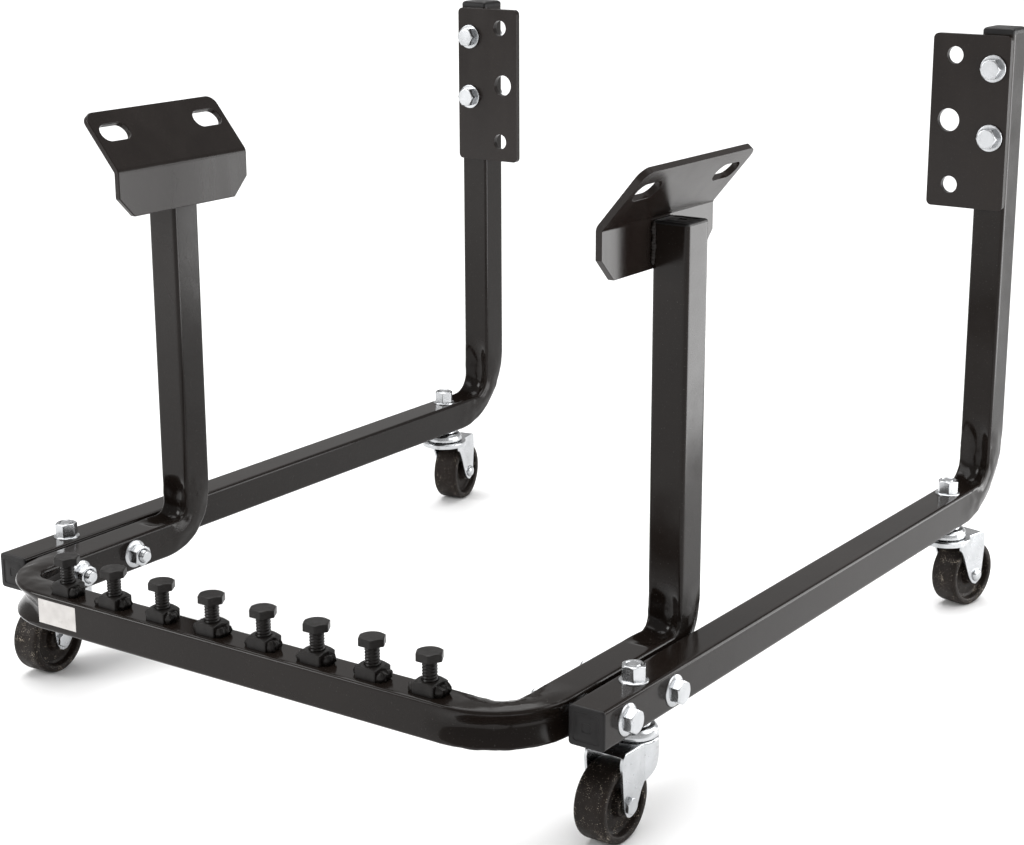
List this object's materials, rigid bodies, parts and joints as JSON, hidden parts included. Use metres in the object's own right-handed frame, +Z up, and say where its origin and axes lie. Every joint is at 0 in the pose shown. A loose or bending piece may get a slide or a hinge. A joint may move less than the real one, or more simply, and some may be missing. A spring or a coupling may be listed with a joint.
{
  "type": "engine stand",
  "caption": "Low rolling cradle that carries an automobile engine by its side mounts and bell-housing face on four swivel casters.",
  "frame": {"origin": "on the floor, at the middle of the stand", "axes": "+X is the right-hand side, +Y the back where the tall posts are, +Z up; the bar with the row of screws is at -Y"},
  "size_m": [0.5278, 0.6422, 0.4455],
  "materials": {
    "gloss_black_paint": "gloss black powder coat on steel tube",
    "satin_black_paint": "satin black powder coat on steel plate",
    "black_plastic": "moulded black polyethylene",
    "zinc_steel": "bright zinc plate",
    "bearing_steel": "polished steel",
    "black_oxide_steel": "black oxide",
    "speckled_rubber": "hard black rubber with fine light specks",
    "white_label": "plain white paper label"
  },
  "bodies": {
    "frame": {"left_rail": "gloss_black_paint", "right_rail": "gloss_black_paint", "front_cradle": "gloss_black_paint", "left_rail_end_plug": "black_plastic", "right_rail_end_plug": "black_plastic", "left_rear_post_plug": "black_plastic", "right_rear_post_plug": "black_plastic", "left_front_post_plug": "black_plastic", "right_front_post_plug": "black_plastic", "side_bolts": "zinc_steel", "side_spacers": "zinc_steel", "side_nuts": "zinc_steel", "left_bell_plate": "satin_black_paint", "right_bell_plate": "satin_black_paint", "bell_plate_bolts": "zinc_steel", "bell_plate_washers": "zinc_steel", "bell_plate_nuts": "zinc_steel", "left_mount_plate": "satin_black_paint", "right_mount_plate": "satin_black_paint", "mount_plate_welds": "satin_black_paint", "bar_nuts": "black_oxide_steel", "bar_nut_welds": "black_oxide_steel", "blank_label": "white_label", "stem_nuts": "zinc_steel", "caster_front_left_stem": "zinc_steel", "caster_front_right_stem": "zinc_steel", "caster_rear_left_stem": "zinc_steel", "caster_rear_right_stem": "zinc_steel"},
    "caster_front_left_fork": {"caster_front_left_fork": "zinc_steel", "caster_front_left_axle": "zinc_steel", "caster_front_left_balls": "bearing_steel"},
    "caster_front_left_wheel": {"caster_front_left_wheel": "speckled_rubber", "caster_front_left_bushing": "bearing_steel"},
    "caster_front_right_fork": {"caster_front_right_fork": "zinc_steel", "caster_front_right_axle": "zinc_steel", "caster_front_right_balls": "bearing_steel"},
    "caster_front_right_wheel": {"caster_front_right_wheel": "speckled_rubber", "caster_front_right_bushing": "bearing_steel"},
    "caster_rear_left_fork": {"caster_rear_left_fork": "zinc_steel", "caster_rear_left_axle": "zinc_steel", "caster_rear_left_balls": "bearing_steel"},
    "caster_rear_left_wheel": {"caster_rear_left_wheel": "speckled_rubber", "caster_rear_left_bushing": "bearing_steel"},
    "caster_rear_right_fork": {"caster_rear_right_fork": "zinc_steel", "caster_rear_right_axle": "zinc_steel", "caster_rear_right_balls": "bearing_steel"},
    "caster_rear_right_wheel": {"caster_rear_right_wheel": "speckled_rubber", "caster_rear_right_bushing": "bearing_steel"},
    "bar_screw_1": {"bar_screw_1": "black_oxide_steel"},
    "bar_screw_2": {"bar_screw_2": "black_oxide_steel"},
    "bar_screw_3": {"bar_screw_3": "black_oxide_steel"},
    "bar_screw_4": {"bar_screw_4": "black_oxide_steel"},
    "bar_screw_5": {"bar_screw_5": "black_oxide_steel"},
    "bar_screw_6": {"bar_screw_6": "black_oxide_steel"},
    "bar_screw_7": {"bar_screw_7": "black_oxide_steel"},
    "bar_screw_8": {"bar_screw_8": "black_oxide_steel"}
  },
  "joints": [
    {"name": "caster_front_left_swivel", "type": "hinge", "parent": "frame", "child": "caster_front_left_fork", "pos_m": [-0.2423, -0.224, 0.06], "axis": [0, 0, 1], "continuous": true},
    {"name": "caster_front_left_roll", "type": "hinge", "parent": "caster_front_left_fork", "child": "caster_front_left_wheel", "pos_m": [-0.24102, -0.24847, 0.0254], "axis": [-0.9986, -0.0523, 0], "continuous": true},
    {"name": "caster_front_right_swivel", "type": "hinge", "parent": "frame", "child": "caster_front_right_fork", "pos_m": [0.2423, -0.224, 0.06], "axis": [0, 0, 1], "continuous": true},
    {"name": "caster_front_right_roll", "type": "hinge", "parent": "caster_front_right_fork", "child": "caster_front_right_wheel", "pos_m": [0.24209, -0.2485, 0.0254], "axis": [-1, 0.0087, 0], "continuous": true},
    {"name": "caster_rear_left_swivel", "type": "hinge", "parent": "frame", "child": "caster_rear_left_fork", "pos_m": [-0.2423, 0.235, 0.06], "axis": [0, 0, 1], "continuous": true},
    {"name": "caster_rear_left_roll", "type": "hinge", "parent": "caster_rear_left_fork", "child": "caster_rear_left_wheel", "pos_m": [-0.24697, 0.25905, 0.0254], "axis": [0.9816, 0.1908, 0], "continuous": true},
    {"name": "caster_rear_right_swivel", "type": "hinge", "parent": "frame", "child": "caster_rear_right_fork", "pos_m": [0.2423, 0.235, 0.06], "axis": [0, 0, 1], "continuous": true},
    {"name": "caster_rear_right_roll", "type": "hinge", "parent": "caster_rear_right_fork", "child": "caster_rear_right_wheel", "pos_m": [0.24739, 0.25896, 0.0254], "axis": [0.9781, -0.2079, 0], "continuous": true},
    {"name": "bar_screw_1_travel", "type": "slide", "parent": "frame", "child": "bar_screw_1", "axis": [0, 0, 1], "range_m": [-0.011, 0.016]},
    {"name": "bar_screw_2_travel", "type": "slide", "parent": "frame", "child": "bar_screw_2", "axis": [0, 0, 1], "range_m": [-0.011, 0.016]},
    {"name": "bar_screw_3_travel", "type": "slide", "parent": "frame", "child": "bar_screw_3", "axis": [0, 0, 1], "range_m": [-0.011, 0.016]},
    {"name": "bar_screw_4_travel", "type": "slide", "parent": "frame", "child": "bar_screw_4", "axis": [0, 0, 1], "range_m": [-0.011, 0.016]},
    {"name": "bar_screw_5_travel", "type": "slide", "parent": "frame", "child": "bar_screw_5", "axis": [0, 0, 1], "range_m": [-0.011, 0.016]},
    {"name": "bar_screw_6_travel", "type": "slide", "parent": "frame", "child": "bar_screw_6", "axis": [0, 0, 1], "range_m": [-0.011, 0.016]},
    {"name": "bar_screw_7_travel", "type": "slide", "parent": "frame", "child": "bar_screw_7", "axis": [0, 0, 1], "range_m": [-0.011, 0.016]},
    {"name": "bar_screw_8_travel", "type": "slide", "parent": "frame", "child": "bar_screw_8", "axis": [0, 0, 1], "range_m": [-0.011, 0.016]}
  ]
}
